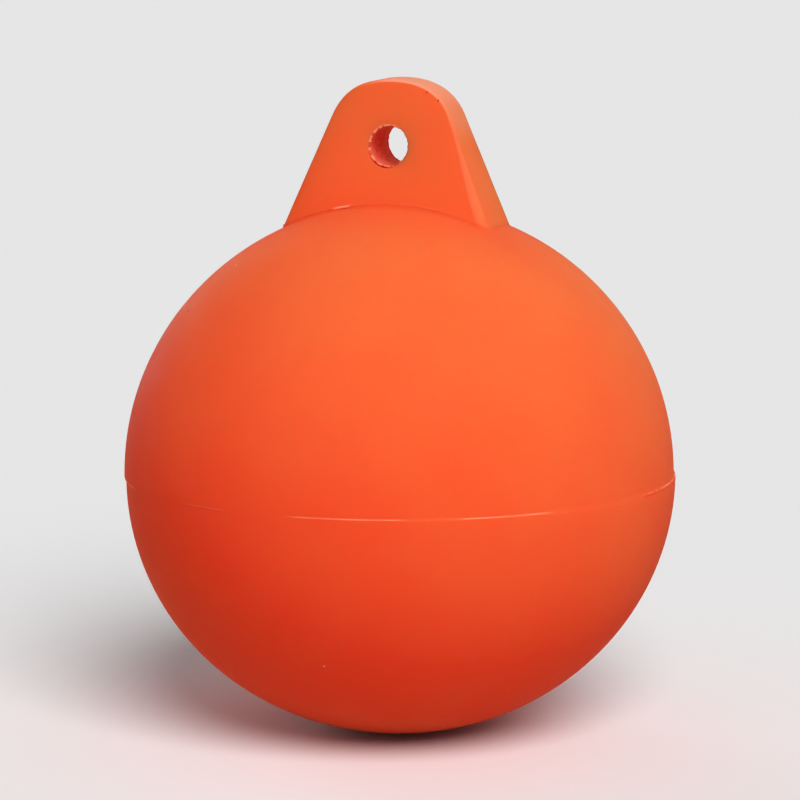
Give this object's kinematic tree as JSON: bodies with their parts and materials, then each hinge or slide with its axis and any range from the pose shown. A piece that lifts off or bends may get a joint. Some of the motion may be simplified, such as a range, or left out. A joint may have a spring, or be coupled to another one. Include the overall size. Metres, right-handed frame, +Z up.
{
  "type": "marker buoy",
  "caption": "Hollow ball float moulded in orange plastic, with a tapered mooring lug and eye on top and a flash line round its middle.",
  "frame": {"origin": "centre of the eye in the lug, on the bore's axis and halfway through the plate", "axes": "+Z up through the lug, from the ball to the crown; the eye's bore runs along Y and the lug's flat faces look along -Y and +Y; +X across the lug"},
  "size_m": [0.3014, 0.3008, 0.3574],
  "materials": {
    "float_plastic": "satin orange polyethylene, slightly mottled, with a soft sheen and light handling scuffs"
  },
  "bodies": {
    "root": {"float_body": "float_plastic"}
  },
  "joints": []
}
